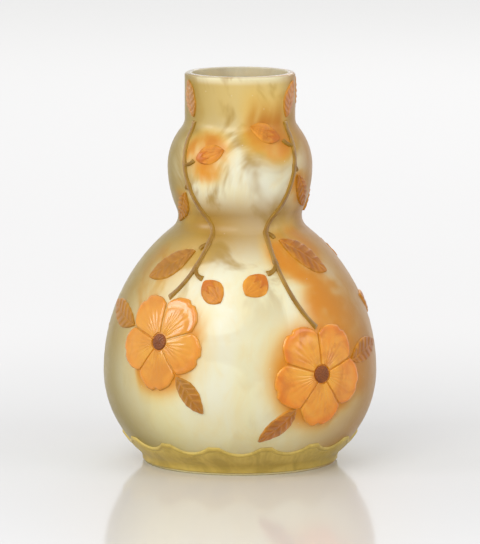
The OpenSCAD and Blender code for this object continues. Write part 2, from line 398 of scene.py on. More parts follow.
# %% Ground glass: the deeper neck, partly painted shade on its left side, the pale lip and the waist
upwards = spread(tree, up, 0.15, 0.185)
# the neck's left side turns darker olive: partly the glass's own deeper edge, partly painted shade against
# the key lamp's light there
neck_left_tint_and_shade = times(tree, upwards, spread(tree, across, 0.002, -0.024, 0.0, 0.55))
neck_right = times(tree, upwards, spread(tree, across, 0.004, 0.02, 0.0, 0.5))
waist = times(tree, spread(tree, up, 0.1, 0.122), spread(tree, up, 0.146, 0.128))
waist = times(tree, waist, spread(tree, across, 0.006, -0.016, 0.75, 1.0))
colour = laid_over(tree, colour, (times(tree, upwards, 0.75), (216, 178, 72)), (neck_left_tint_and_shade, (178, 148, 66)),
                   (neck_right, (238, 220, 150)),
                   (spread(tree, up, 0.195, 0.199, 0.0, 0.75), (255, 248, 212)), (waist, (190, 144, 46)))

# %% [markdown]
# Coloured powders were rolled into the hot glass before it was cased: a little olive above the middle,
# and amber wherever an attribute of the mesh asks for it, which the sprays will fill in further down.
# Yellow shows at a cloud's rim, where the powder is thin, and full amber in its middle.

# %% Ground glass: olive and amber powder
powder = use(tree, clouds, Size=30.0, Drawn=0.7, Seeds=0.05)
olive_powder = times(tree, spread(tree, powder["Cloud"], 0.42, 0.92),
                     spread(tree, up, 0.07, 0.12, 0.12, 0.9))
blush = add(tree, "Attribute", attribute_name="blush")["Fac"]
mottled = times(tree, blush, spread(tree, cased["Cloud"], 0.0, 0.75, 0.35, 1.0))
colour = laid_over(tree, colour, (olive_powder, (184, 144, 54)), (mottled, (250, 198, 62)))
amber = blend(tree, upwards, srgb(236, 146, 2), srgb(200, 122, 16))
colour = blend(tree, spread(tree, mottled, 0.25, 1.0), colour, amber)

# %% Ground glass: seeds, and the deep tone of a wall seen edge on
colour = laid_over(tree, colour, (times(tree, cased["Seed"], 0.35), (254, 252, 244)))
turned_away = add(tree, "LayerWeight", {"Blend": 0.35})["Facing"]
deep_tone = blend(tree, spread(tree, across, -0.04, 0.04), srgb(152, 126, 16), srgb(180, 124, 8))
colour = blend(tree, spread(tree, turned_away, 0.1, 0.6, 0.0, 0.93), colour, deep_tone)

# %% [markdown]
# The outside is etched, while the lip, the inside and the polished dish under the foot are smooth, so
# the mesh carries an attribute that says where the acid has been. The standing ring has rubbed on many
# tables, so it is dull in patches.

# %% Ground glass: satin where the acid has been
smooth_at_least, ring_wear = 0.07, 0.6
acid = use(tree, satin, Least=0.3, Most=0.42, Grain=650.0)
bitten = add(tree, "Attribute", attribute_name="etched")["Fac"]
worn = times(tree, spread(tree, up, 0.0006, 0.0001), spread(tree, cased["Streak"], 0.2, 0.8))
rough = math_node(tree, "MAXIMUM", times(tree, acid["Roughness"], bitten), smooth_at_least)
rough = math_node(tree, "MAXIMUM", rough, times(tree, worn, ring_wear))
dress(tree, shader, colour, rough, times(tree, acid["Height"], bitten), 0.0003)

# %% [markdown]
# ### The lining
# The lining is clear glass with a breath of straw, fire-polished where it is seen in the mouth. It is
# held between clear and milky, because a quite clear wall would show the dark inside of the body. Smears
# where it was wiped make its gloss uneven.

# %% Clear lining
lining_mat, tree, shader = new_finish("clear lining", {"Transmission Weight": 0.6, "IOR": 1.5})
blown = use(tree, clouds, Size=34.0, Drawn=0.3, Seeds=0.05)
colour = blend(tree, blown["Cloud"], srgb(255, 249, 224), srgb(255, 241, 204))
smears = add(tree, "TexNoise", {"Vector": add(tree, "TexCoord")["Object"], "Scale": 28.0, "Detail": 4.0,
                                "Distortion": 1.5})["Fac"]
dress(tree, shader, colour, spread(tree, smears, 0.4, 0.75, 0.03, 0.14), blown["Streak"], 0.0002)

# %% [markdown]
# Where two layers are fused, light goes straight from one glass into the next: nothing is reflected and
# nothing bends. So the faces where ground and lining meet get a glass of index 1, which does neither.

# %% Fused faces
fused_mat = new_finish("fused faces", {"Base Color": (1, 1, 1, 1), "Roughness": 0.0, "IOR": 1.0,
                                       "Transmission Weight": 1.0})[0]


def fuse(piece, is_fused):
    """Gives the fused finish to the faces for which is_fused says so, by their middle in millimetres."""
    for face in piece.data.polygons:
        x, y, z = face.center / MM
        face.material_index = int(is_fused(math.hypot(x, y), z))
    print(piece.name, "has", sum(face.material_index for face in piece.data.polygons), "fused faces")


print("vessel materials", ground_mat.name, lining_mat.name)

# %% [markdown]
# ## The vessel
# The ground layer is one closed section: dish, recess, standing ring, outside wall, lip and inside
# wall. The lip is rounded by a last arc, as the rim is melted smooth at the furnace, and the ring's
# corners are softened as they wear. The inner wall follows the outer one at a constant thickness.

# %% Walls
def lower_wall(bm, pen):
    """Draws from the foot up to the widest level, round the same centres whatever the pen's offset."""
    pen = curve(bm, pen, foot_c, bearing(foot_c, body_low_c) - 180)
    return curve(bm, pen, body_low_c, 360 - bearing(body_low_c, foot_c))


def upper_wall(bm, pen):
    """Draws from the widest level up to where the collar stands straight."""
    turn = bearing(body_up_c, waist_c)
    pen = curve(bm, pen, body_up_c, turn)
    pen = curve(bm, pen, waist_c, bearing(waist_c, bulb_low_c) - turn - 180)
    pen = curve(bm, pen, bulb_low_c, 360 - bearing(bulb_low_c, waist_c))
    turn = bearing(bulb_up_c, collar_c)
    pen = curve(bm, pen, bulb_up_c, turn)
    return curve(bm, pen, collar_c, -turn)


def inner_wall(bm, floor_z, inset, fillet):
    """Draws the inside from the axis along the floor, round its corner and up to the collar."""
    corner_r = body_low_r - inset - fillet
    corner = (body_low_c[0] + math.sqrt(corner_r ** 2 - (floor_z + fillet - body_z) ** 2), floor_z + fillet)
    pen = straight(bm, bm.verts.new((0, 0, floor_z)), corner[0] / 2, floor_z)
    pen = straight(bm, pen, corner[0], floor_z)
    arrive = bearing(body_low_c, corner)
    pen = curve(bm, pen, corner, arrive - 270, step=10)
    pen = curve(bm, pen, body_low_c, 360 - arrive)
    return upper_wall(bm, pen)


# %% Ground layer
lip_r = 1.3
bm = bmesh.new()
ball_r = (dish_r ** 2 + dish_depth ** 2) / (2 * dish_depth)
dish_top = recess_depth + dish_depth
pen = bm.verts.new((0, 0, dish_top))
pen = curve(bm, pen, (0, dish_top - ball_r), -math.degrees(math.asin(dish_r / ball_r)), step=2)
ring_in = foot_r - ring_w
pen = straight(bm, pen, ring_in - 1, recess_depth)
pen = curve(bm, pen, (ring_in - 1, recess_depth - 1), -90, step=15)
pen = straight(bm, pen, ring_in, 0.5)
pen = curve(bm, pen, (ring_in + 0.5, 0.5), 90, step=15)
pen = straight(bm, pen, foot_r - 0.5, 0)
pen = curve(bm, pen, (foot_r - 0.5, 0.5), 90, step=15)
pen = straight(bm, pen, foot_r, foot_c[1])
pen = upper_wall(bm, lower_wall(bm, pen))
pen = straight(bm, pen, collar_r, height - lip_r)
pen = curve(bm, pen, (collar_r - lip_r, height - lip_r), 90, step=10)
pen = straight(bm, pen, collar_r - ground_t, height)
pen = inner_wall(bm, floor_t - casing_t, ground_t, 4)
straight(bm, pen, collar_r - ground_t, height)
turn_round(bm)
etched = bm.verts.layers.float.new("etched")
for v in bm.verts:
    reach = math.hypot(v.co.x, v.co.y)
    v[etched] = float(0.3 < v.co.z < height - lip_r / 2 and reach > wall(v.co.z)[0] - ground_t / 2)
print("ground layer", len(bm.faces), "faces, closed:", is_closed(bm))
ground = finished(bm, "ground_layer", ["ground_glass"], ground_mat)
middle, floor_under = ground_t / 2, floor_t - casing_t
fuse(ground, lambda reach, z: floor_under - 0.1 < z < height - 0.1 and reach < wall(z)[0] - middle)

# %% [markdown]
# The lining is drawn the same way, 0.05 mm into the ground layer, so that no two faces lie in one
# place, which a renderer can't sort. Its floor meets the wall in a rounded corner, as molten glass does.

# %% Lining
bm = bmesh.new()
skin = 0.05
pen = inner_wall(bm, floor_t, ground_t + casing_t, 5)
bore = collar_r - ground_t - casing_t
pen = straight(bm, pen, bore, height - 0.7)
pen = curve(bm, pen, (bore + 0.7, height - 0.7), -90, step=15)
straight(bm, pen, collar_r - ground_t + skin, height - 0.02)
pen = inner_wall(bm, floor_t - casing_t - skin, ground_t - skin, 4)
straight(bm, pen, collar_r - ground_t + skin, height - 0.02)
turn_round(bm)
print("lining", len(bm.faces), "faces, closed:", is_closed(bm))
lining = finished(bm, "clear_lining", ["inner_casing"], lining_mat)
middle, floor_middle = ground_t + casing_t / 2, floor_t - casing_t / 2
fuse(lining, lambda reach, z: z < floor_middle or z < height - 0.1 and reach > wall(z)[0] - middle)

# %% [markdown]
# ## Wrapping the ornament
# The engraver draws each island on the glass from in front. We draw it flat instead: u is the way
# across, z the height on the vase, and h the height of the relief over the ground. Wrapping takes each
# point straight back onto the wall at its own height, lifts it by h along the wall's outward direction
# and turns it round the axis to its spray. The underside is sunk a little, so that no light gets between.

# %% Wrap
sunk, joined_within = 0.12, 0.002


def onto(u, z, h, turn):
    """The point on the vase for a flat point, in millimetres."""
    r, out, up = wall(z)
    back = math.sqrt(max(r * r - u * u, 1.0))
    point = Vector((u + h * out * u / r, -back - h * out * back / r, z + h * up))
    return Matrix.Rotation(math.radians(turn), 3, "Z") @ point


# %% [markdown]
# ## An island of overlay
# Each island starts as a flat grid that is extruded once: what stays below is its base, fused to the
# ground, and the copy above is its carved face. Two functions shape it. The outline says where on the
# flat a point of the grid goes, and the relief how thick the glass is there. The thickness is also kept
# with each vertex, for the finish to read. All points of a tip are then joined in one, so that the
# island is closed.

# %% Island
def island(bm, long_cells, wide_cells, outline, relief, seam=None):
    """Adds a closed plaque. outline gives (u, z) and relief gives h for a share s along, 0 to 1, and t
    across, -1 to 1. Where the plaque goes right round, its walls at the seam, which are at the ends of s
    (0) or of t (1), are taken out."""
    depth = bm.verts.layers.float.get("carve") or bm.verts.layers.float.new("carve")
    made = bmesh.ops.create_grid(bm, x_segments=long_cells, y_segments=wide_cells, size=1)["verts"]
    base = list(dict.fromkeys(face for v in made for face in v.link_faces))
    lifted = bmesh.ops.extrude_face_region(bm, geom=base)["geom"]
    for face in base:
        face.material_index = 1
    if seam is not None:
        walls = [f for f in bm.faces if all(abs(v.co[seam]) > 1 - 1e-6 for v in f.verts)]
        bmesh.ops.delete(bm, geom=walls, context="FACES")
    tops = [g for g in lifted if isinstance(g, bmesh.types.BMVert)]
    for v, is_top in [(v, False) for v in made] + [(v, True) for v in tops]:
        s, t = (v.co.x + 1) / 2, v.co.y
        h = relief(s, t)
        v[depth] = min(1.0, max(0.0, h / overlay_t))
        v.co = (*outline(s, t), h if is_top else -sunk)


def wrapped(bm, turn):
    """Closes the plaques' tips, wraps them onto the vase and faces them outwards."""
    in_order(bm)
    bmesh.ops.remove_doubles(bm, verts=list(bm.verts), dist=joined_within)
    bmesh.ops.dissolve_degenerate(bm, edges=list(bm.edges), dist=same_place)
    for v in bm.verts:
        v.co = onto(*v.co, turn)
    bmesh.ops.recalc_face_normals(bm, faces=list(bm.faces))


# %% Small helpers for carving
def groove(distance, width, depth):
    """A cut of that depth with a soft V section."""
    return -depth * math.exp(-((distance / width) ** 2))


def rounded(t, soft):
    """1 over an island, falling to a third in the last part before its edge."""
    near = min(1.0, (1 - abs(t)) / soft)
    return 0.34 + 0.66 * math.sqrt(max(0.0, near * (2 - near)))


def rounded_end(share):
    """Two fifths at the very rim, rising to 1 where share reaches 1."""
    near = min(1.0, share)
    return 0.4 + 0.6 * math.sqrt(near * (2 - near))


def wobble(x, y, size, amount):
    """A small wandering amount, the same on every run, so that no two edges match."""
    return amount * noise.noise(Vector((x / size, y / size, 3.7)))


# %% [markdown]
# ## The sprays
# Four sprays trail down the vase. Each has an S-shaped stem from the collar to its blossom. A stretch
# of stem is an arc given by its two ends and by how far it bows out, as in the drawing.

# %% The drawing's sizes
blossom_r, lobe_r, heart_r, notch_r = 27, 12, 4.4, 2.2
leaf_length, leaf_w, bud_length, bud_w, stem_w = 27, 11.5, 15, 9.5, 2.2
band_h, band_lift, scallop_r, scallop_depth, scallops = 15, 1, 18, 3.6, 14
petals = 5
petal_turn = 360 / petals
sprays = ["front_left", "front_right", "back_right", "back_left"]
# for each spray: its place round the vase in degrees, the side it starts on, its blossom's height over
# that of the widest level, its size, its tilt in degrees, and how far its shoots slip along the stem
spray_turns = [-37, 36, 128, 219]
spray_sides = [-1, 1, -1, 1]
blossom_levels = [1.47, 1.13, 1.42, 1.2]
blossom_sizes = [0.92, 1, 0.96, 0.9]
spray_tilts = [0, -5, 6, -3]
spray_slips = [0.1, -0.08, 0.04, -0.03]
# share: where on its stretch of stem a shoot leaves it; stalk: its length in lengths of a leaf
Shoot = namedtuple("Shoot", "name is_bud on_neck share angle stalk")
shoots = [Shoot("bulb_leaf", False, True, 0.5, -58, 0.12), Shoot("bulb_bud", True, True, 0.3, 160, 0.24),
          Shoot("shoulder_leaf", False, False, 0.2, -32, 0.14),
          Shoot("shoulder_bud", True, False, 0.45, 221, 0.3)]
neck_leaf, low_leaf, collar_leaf_angle = 0.72, 0.84, 75
stem_top_share, stem_waist_share, neck_sag_share, stalk_sag_share = 0.3, 0.12, 0.13, 0.15
stalk_w_share = 0.82

# %% Arcs on the flat
def along(angle):
    """A step one millimetre long in the direction of an angle in degrees."""
    return Vector((math.cos(math.radians(angle)), math.sin(math.radians(angle))))


def rotated(v, angle):
    return Matrix.Rotation(math.radians(angle), 2) @ v


def heading(v):
    return math.degrees(math.atan2(v.y, v.x)) % 360


def on_arc(p, q, sag, share):
    """The point a share of the way along the arc from p to q that bows out to the left by sag, and
    the direction to its left there."""
    chord, half = q - p, (q - p).length / 2
    centre = (p + q) / 2 + rotated(chord, 90) / chord.length * (sag * sag - half * half) / (2 * sag)
    sweep = 4 * math.degrees(math.atan(2 * sag / chord.length))
    point = centre + rotated(p - centre, -sweep * share)
    return point, (point - centre).normalized() * (1 if sag > 0 else -1)


# %% Where a spray's parts are
class Spray:
    """The places in one spray, measured across from its middle line and up."""

    def __init__(self, i):
        self.name, self.turn, self.side = sprays[i], spray_turns[i], spray_sides[i]
        self.size, self.tilt, self.slip = blossom_sizes[i], spray_tilts[i], spray_slips[i]
        self.blossom = Vector((0, body_z * blossom_levels[i]))
        # how far out the circles of two neighbouring petals cross
        lobe_x, edge = blossom_r - lobe_r, math.radians(petal_turn / 2)
        self.cleft = lobe_x * math.cos(edge) + math.sqrt(lobe_r ** 2 - (lobe_x * math.sin(edge)) ** 2)
        self.top = Vector((self.side * collar_r * stem_top_share, collar_c[1]))
        self.waist = Vector((-self.side * bulb_r * stem_waist_share, waist_c[1]))
        self.end = self.blossom + Vector((0, self.cleft * self.size + etch_gap + stem_w))
        self.neck_sag = self.side * bulb_r * neck_sag_share
        # the lower arc sets off from the waist in the direction in which the upper one arrives
        neck, shoulder = self.waist - self.top, self.end - self.waist
        arriving = heading(neck) - 2 * math.degrees(math.atan(2 * self.neck_sag / neck.length))
        self.shoulder_sag = -shoulder.length / 2 * math.tan(math.radians(heading(shoulder) - arriving) / 2)

    def aim(self, angle):
        """Turns an angle of the drawing for this spray, which may be mirrored and tilted."""
        return 90 - self.side * (90 - angle - self.tilt)

    def root(self, shoot):
        """The point where a shoot leaves the stem."""
        share = shoot.share + self.slip
        if shoot.on_neck:
            return on_arc(self.top, self.waist, self.neck_sag, share)[0]
        return on_arc(self.waist, self.end, self.shoulder_sag, share)[0]


placed = [Spray(i) for i in range(len(sprays))]
for spray in placed:
    print(spray.name, "stem", [tuple(round(x, 1) for x in p) for p in (spray.top, spray.waist, spray.end)])

# %% [markdown]
# ### Amber clouds under the ornament
# Before it was cased, the hot bubble was rolled in amber powder where the ornament would come, so soft
# clouds of colour show in the ground round each blossom and leaf. The drawing says where they are, so the
# ground layer gets them as an attribute: 1 in the middle of a cloud, fading to 0 at its rim.

# %% Amber clouds
shoot_clouds = [(13, 12), (13, 19), (16, 24)]
cloud_fade = 2.4
spots = []
for spray in placed:
    # start, angle and distance to a cloud's middle, and how far the cloud reaches
    behind = [(spray.blossom, 0, 0, 37), (spray.blossom, 62, 34, 31),
              (spray.blossom, 90 - petal_turn, 32, 28)]
    for shoot, (far, reach) in zip(shoots, shoot_clouds):
        behind.append((spray.root(shoot), shoot.angle, far, reach))
    for start, angle, far, reach in behind:
        spots.append((onto(*(start + along(spray.aim(angle)) * far), 0, spray.turn), reach * spray.size))
cloud_share = ground.data.attributes.new("blush", "FLOAT", "POINT")
for v in ground.data.vertices:
    near = max(1 - (v.co / MM - middle).length / reach for middle, reach in spots)
    cloud_share.data[v.index].value = min(1.0, max(0.0, near * cloud_fade))
print(len(spots), "amber clouds")

# %% [markdown]
# ### Overlay glasses
# The overlay was one coloured skin. Where the wheel cut deep it is thin and light comes through pale,
# and where it was left thick it is dark. So each relief carries its own depth as an attribute, and the
# colour runs between a thin tone and a thick one. The shader lets some light through and scatters the
# rest, as a thin satin skin over pale glass does. Petals were polished again after the acid, so they
# have a stronger clear coat and a lower roughness. On the left side a third tone makes the colour a
# little duller and darker. It is partly the glass's own tint and partly painted shade that holds down
# the left, where the key lamp falls strongest.

# %% Overlay glass
def overlay_glass(name, thin, thick, streaked, rough=(0.42, 0.56), polish=0.2,
                  left_tint_and_shade=None, left_tint_and_shade_share=0.0):
    """Tones for thin and thick glass and for its streaks, its least and most roughness, its polish, and a
    tone for its left side, partly its own tint and partly painted shade, with that tone's share."""
    made, tree, shader = new_finish(name, {
        "Transmission Weight": 0.15, "IOR": 1.5, "Specular IOR Level": 0.3, "Coat Weight": polish,
        "Coat Roughness": 0.16})
    tint = use(tree, carved, Thin=srgb(*thin), Thick=srgb(*thick), Wander=0.22)
    streak = use(tree, clouds, Size=60.0, Drawn=0.8, Seeds=0.05)["Streak"]
    acid = use(tree, satin, Least=rough[0], Most=rough[1], Grain=800.0)
    colour = blend(tree, times(tree, streak, 0.55), tint["Colour"], srgb(*streaked))
    # painted shade in part: the left side's tone is partly the glass's own tint and partly darkening where
    # the key lamp falls strongest
    if left_tint_and_shade:
        left_tint_and_shade_mask = spread(tree, across_and_up(tree)[0], 0.02, -0.045, 0.0, left_tint_and_shade_share)
        colour = laid_over(tree, colour, (left_tint_and_shade_mask, left_tint_and_shade))
    smoother_where_thick = times(tree, tint["Depth"], 0.04)
    dress(tree, shader, colour, math_node(tree, "SUBTRACT", acid["Roughness"], smoother_where_thick),
          acid["Height"], 0.00035)
    return made


amber_mat = overlay_glass("amber overlay", (255, 196, 70), (250, 144, 6), (208, 104, 4),
                          rough=(0.19, 0.265), polish=0.5, left_tint_and_shade=(224, 156, 50), left_tint_and_shade_share=0.5)
heart_mat = overlay_glass("heart overlay", (190, 104, 20), (118, 58, 4), (84, 36, 2))
leaf_mat = overlay_glass("leaf overlay", (236, 164, 36), (182, 104, 2), (140, 84, 6),
                         left_tint_and_shade=(178, 134, 24), left_tint_and_shade_share=0.4)
stem_mat = overlay_glass("stem overlay", (206, 162, 50), (152, 108, 10), (122, 80, 4))
bud_mat = overlay_glass("bud overlay", (250, 180, 54), (212, 116, 6), (160, 84, 4))
olive_mat = overlay_glass("olive overlay", (236, 212, 120), (208, 177, 80), (174, 145, 58))
print("overlay materials", [m.name for m in bpy.data.materials if "overlay" in m.name])

# %% [markdown]
# ## Leaves
# A leaf is a pointed oval, its two sides arcs. The engraver leaves it thickest along its middle, cuts
# the midrib and the side veins as grooves, and rounds the rim. A real one isn't ruled, so the outline
# wanders a little and the leaf sways.

# %% Leaf
least_h = 0.12


def half_width(x, long, wide):
    """Half the width of a pointed oval at the distance x from its base."""
    r = (long * long + wide * wide) / (4 * wide)
    return max(0.0, math.sqrt(max(0.0, r * r - (x - long / 2) ** 2)) - (r - wide / 2))


def sprout(bm, start, angle, long, wide, carve, sway=0.5, wander=0.3, cells=(60, 22)):
    """Adds a pointed oval whose base is at start, carved by carve(x, y, s, t)."""
    ahead, left = along(angle), along(angle + 90)

    def outline(s, t):
        x = s * long
        y = t * half_width(x, long, wide)
        if abs(t) > 0.5:
            near_edge, off_tips = (abs(t) - 0.5) * 2, min(1, 6 * s, 6 * (1 - s))
            y += near_edge * off_tips * wobble(x + start.x, t * 9 + start.y, 2.2, wander)
        y += sway * math.sin(math.pi * s) * math.sin(math.pi * s * 1.3)
        return start + ahead * x + left * y

    def relief(s, t):
        x = s * long
        h = carve(x, t * half_width(x, long, wide), s, t)
        off_tips = min(1.0, s * cells[0], (1 - s) * cells[0])
        return least_h + (h - least_h) * off_tips

    island(bm, *cells, outline, relief)


def leaf_carving(long, wide):
    """A crowned blade with a midrib that runs out towards the tip, and six or seven veins a side."""
    def carve(x, y, s, t):
        h = 0.86 + 0.3 * (1 - t * t)
        h += groove(y, 0.42, 0.55 * (1 - 0.6 * s))
        vein = x / (long / 6.5) - abs(t) * 0.95
        fade = min(1.0, 5 * abs(t)) * min(1.0, 4 * (1 - s)) * min(1.0, 6 * s)
        h += groove(vein - round(vein), 0.13, 0.34 * fade)
        h += 0.12 * math.sin(2 * math.pi * vein) * fade
        return max(least_h, min(overlay_t, h * rounded(t, 0.2)))
    return carve


def leaf(bm, start, angle, share):
    long, wide = leaf_length * share, leaf_w * share
    sprout(bm, start, angle, long, wide, leaf_carving(long, wide))


# %% [markdown]
# ## Buds
# A bud is a short, full oval. Its base is held by pointed sepals, which stand thicker than the folded
# petals that come out of them, so they read darker.

# %% Bud
def bud_carving(x, y, s, t):
    """Folds that draw together towards the tip, and pointed sepals over the base."""
    h = 0.5 + 0.32 * (1 - t * t)
    for fold in (-0.42, 0.0, 0.42):
        h += groove(t - fold * (1.1 - 0.5 * s), 0.09, 0.26 * min(1, 3 * s))
    sepal = 0.5 - 0.24 * abs(math.sin(math.pi * (t * 1.5 + 0.5)))
    if s < sepal:
        h = 1.0 + 0.16 * (1 - t * t) - 0.3 * max(0.0, s - sepal + 0.05) / 0.05
    return max(least_h, min(overlay_t, h * rounded(t, 0.22)))


def bud(bm, start, angle):
    sprout(bm, start, angle, bud_length, bud_w, bud_carving, sway=0.25, wander=0.15, cells=(44, 24))


# %% [markdown]
# ## Blossoms
# Five petals stand round a heart, an etched line apart. A petal is a round lobe cut to a fifth of the
# circle, with a notch in its tip. It is thin by the heart, thickens towards its rim, has creases
# fanning out of its base, and one flank stands higher than the other, as if it lay over its neighbour.

# %% Petal
# where on the petal's width a crease lies, and how far out it reaches
creases = [(-0.62, 0.6), (-0.32, 0.8), (0.0, 0.92), (0.3, 0.78), (0.6, 0.62)]


def petal_point(size, s, t):
    """Distance and angle from the blossom's middle, for s from the heart out and t from flank to flank.
    The etched line's angle narrows with the distance, so the two are found together in a few rounds."""
    lobe, lobe_x = lobe_r * size, (blossom_r - lobe_r) * size
    inner = heart_r * size + etch_gap
    notch_at = blossom_r * size + notch_r / 2
    distance = inner + s * (lobe_x + lobe - inner)
    for _ in range(5):
        room = petal_turn / 2 - math.degrees(math.asin(min(1, etch_gap / 2 / distance)))
        angle = math.radians(t * room)
        outer = lobe_x * math.cos(angle) + math.sqrt(lobe ** 2 - (lobe_x * math.sin(angle)) ** 2)
        if abs(math.sin(angle)) < notch_r / notch_at:
            outer = min(outer, notch_at * math.cos(angle)
                        - math.sqrt(notch_r ** 2 - (notch_at * math.sin(angle)) ** 2))
        distance = inner + s * (outer - inner)
    return distance, math.degrees(angle)


def petal(bm, centre, pointing, size, lap):
    def outline(s, t):
        distance, angle = petal_point(size, s, t)
        distance -= s ** 4 * (0.25 + wobble(angle + pointing, centre.y, 7, 0.5)) * size
        return centre + along(pointing + angle) * distance

    def relief(s, t):
        h = 0.42 + 0.5 * s ** 0.8 + 0.1 * (1 - t * t) + 0.12 * lap * t
        for crease, reach in creases:
            fade = max(0.0, 1 - s / reach) ** 0.5
            h += groove(t - crease * (0.75 + 0.35 * s), 0.05 + 0.03 * s, 0.26 * fade)
        # a ridge inside the rim, and a shallow dip before it
        h += 0.16 * math.exp(-(((s - 0.9) / 0.07) ** 2)) + groove(s - 0.74, 0.09, 0.1)
        return max(least_h, min(overlay_t, h * rounded(t, 0.12) * rounded_end((1 - s) / 0.07)))

    island(bm, 34, 44, outline, relief)


# %% [markdown]
# The heart is a low dome covered with stippled knobs, three rings of them round a middle one.

# %% Heart
# how far out a ring of knobs lies, and how many knobs it has
knob_rings = [(0.3, 6), (0.58, 11), (0.85, 17)]


def heart(bm, centre, size):
    def outline(s, t):
        return centre + along(180 * t) * (heart_r * size * (1 - s) + 1e-4)

    def relief(s, t):
        r, turn = 1 - s, math.pi * t
        h = 0.62 + 0.25 * (1 - r * r)
        for ring, knobs in knob_rings:
            on_ring = math.exp(-(((r - ring) / 0.085) ** 2))
            h += 0.32 * on_ring * max(0.0, math.cos(knobs * turn + ring * 9)) ** 0.7
        h += 0.3 * math.exp(-((r / 0.13) ** 2))
        return min(overlay_t, h * rounded_end(s / 0.12))

    island(bm, 18, 120, outline, relief, seam=1)


# %% [markdown]
# ## Stems
# A stem is a rounded band along two arcs, a little thicker at the collar, with a swelling at each joint
# and a thin stalk out to each leaf and bud.

# %% Stem
def band(bm, point_at, length, width, joints):
    """Adds a rounded band along point_at(share), which gives a place and the direction to its left. It
    swells a little at its joints."""
    def outline(s, t):
        place, left = point_at(s)
        wide = width * (1 + 0.07 * wobble(s * length, 0, 5, 2))
        for joint in joints:
            wide += width * 0.28 * math.exp(-(((s - joint) * length / 1.3) ** 2))
        return place + left * (t * wide / 2)

    def relief(s, t):
        tip = min(1.0, s * length / 0.8, (1 - s) * length / 0.8)
        return overlay_t * (0.4 + 0.58 * math.sqrt(max(0.0, 1 - t * t))) * (0.45 + 0.55 * tip)

    island(bm, max(8, int(length / 0.7)), 10, outline, relief)


def stem(bm, spray):
    neck = (spray.waist - spray.top).length
    shoulder = (spray.end - spray.waist).length
    parting = neck / (neck + shoulder)

    def main(s):
        if s < parting:
            return on_arc(spray.top, spray.waist, spray.neck_sag, s / parting)
        return on_arc(spray.waist, spray.end, spray.shoulder_sag, (s - parting) / (1 - parting))

    joints = [0, 1]
    for shoot in shoots:
        share = shoot.share + spray.slip
        joints.append(share * parting if shoot.on_neck else parting + share * (1 - parting))
    band(bm, main, neck + shoulder, stem_w, joints)
    for shoot in shoots:
        start = spray.root(shoot)
        end = start + along(spray.aim(shoot.angle)) * shoot.stalk * leaf_length
        sag = spray.side * shoot.stalk * leaf_length * stalk_sag_share
        band(bm, lambda s: on_arc(start, end, sag, s), (end - start).length, stem_w * stalk_w_share, [1])


# %% [markdown]
# ## Making every spray
# Everything is ready, so each spray is a loop over its five petals, its heart, its stem and its leaves
# and buds. Each is drawn flat, wrapped, and kept as a piece of its own, as each is an island of its own.

# %% Every spray
def overlay_piece(name, material, spray, draw):
    """Draws one island, wraps it and makes it the piece for its node."""
    bm = bmesh.new()
    draw(bm)
    wrapped(bm, spray.turn)
    finished(bm, name + "_relief", [name], material)


def leaf_piece(name, spray, start, angle, share):
    overlay_piece(name, leaf_mat, spray, lambda bm: leaf(bm, start, angle, share))


for spray in placed:
    for k in range(1, petals + 1):
        pointing = 90 + petal_turn * (k - 0.5)
        overlay_piece(f"{spray.name}_petal_{k}", amber_mat, spray,
                      lambda bm: petal(bm, spray.blossom, pointing, spray.size, spray.side))
    overlay_piece(f"{spray.name}_heart", heart_mat, spray,
                  lambda bm: heart(bm, spray.blossom, spray.size))
    overlay_piece(f"{spray.name}_stem", stem_mat, spray, lambda bm: stem(bm, spray))
    angle, off_stem = spray.aim(collar_leaf_angle), stem_w / 2 + etch_gap
    leaf_piece(f"{spray.name}_collar_leaf", spray, spray.top + along(angle) * off_stem, angle, neck_leaf)
    for name, cleft, share in (("side_leaf", -1, 1), ("low_leaf", 2, low_leaf)):
        angle = spray.aim(90 + petal_turn * cleft)
        start = spray.blossom + along(angle) * (spray.cleft * spray.size + 2 * etch_gap)
        leaf_piece(f"{spray.name}_{name}", spray, start, angle, share)
    for shoot in shoots:
        name, angle = f"{spray.name}_{shoot.name}", spray.aim(shoot.angle)
        start = spray.root(shoot) + along(angle) * (shoot.stalk * leaf_length + off_stem)
        if shoot.is_bud:
            overlay_piece(name, bud_mat, spray, lambda bm: bud(bm, start, angle))
        else:
            leaf_piece(name, spray, start, angle, neck_leaf if shoot.on_neck else 1)

# %% [markdown]
# ## The band round the foot
# The olive band goes right round, so its plaque is as long as the foot's girth, and its two ends meet.
# Its upper edge is bitten by scallops. A line is cut along under the edge, and short flutes fan down
# from each scallop.

# %% Foot band
# from the upper edge down: a bead, a cut line, and then flutes, so many under each scallop
bead_line, cut_line, flutes_from, flute_length, flutes = 1.3, 2.3, 2.6, 7, 9


def bite(u):
    """How far a scallop bites down at the distance u from its middle."""
    if abs(u) >= scallop_r:
        return 0.0
    return max(0.0, scallop_depth - scallop_r + math.sqrt(scallop_r ** 2 - u * u))


def band_outline(s, t):
    z = band_lift + (t + 1) / 2 * band_h
    u = (wall(z)[0] + overlay_t) * math.tan(math.tau * (s * scallops - round(s * scallops)) / scallops)
    top = band_lift + band_h - bite(u)
    return s * 360, band_lift + (t + 1) / 2 * (top - band_lift)


def band_relief(s, t):
    from_top = (1 - t) / 2 * band_h
    around = s * scallops - round(s * scallops)
    h = 0.92 + groove(from_top - cut_line, 0.4, 0.5) - groove(from_top - bead_line, 0.6, 0.14)
    flute = around * flutes
    if from_top > flutes_from:
        h += groove(flute - round(flute), 0.2, 0.3 * max(0.0, 1 - (from_top - flutes_from) / flute_length))
    return min(overlay_t, h * rounded(t, 0.1))


bm = bmesh.new()
island(bm, 28 * scallops, 26, band_outline, band_relief, seam=0)
for v in bm.verts:
    turn, z, h = v.co
    v.co = onto(0, z, h, turn)
in_order(bm)
bmesh.ops.remove_doubles(bm, verts=list(bm.verts), dist=joined_within)
bmesh.ops.recalc_face_normals(bm, faces=list(bm.faces))
print("foot band", len(bm.faces), "faces, closed:", is_closed(bm))
finished(bm, "foot_band_relief", ["foot_band"], olive_mat)
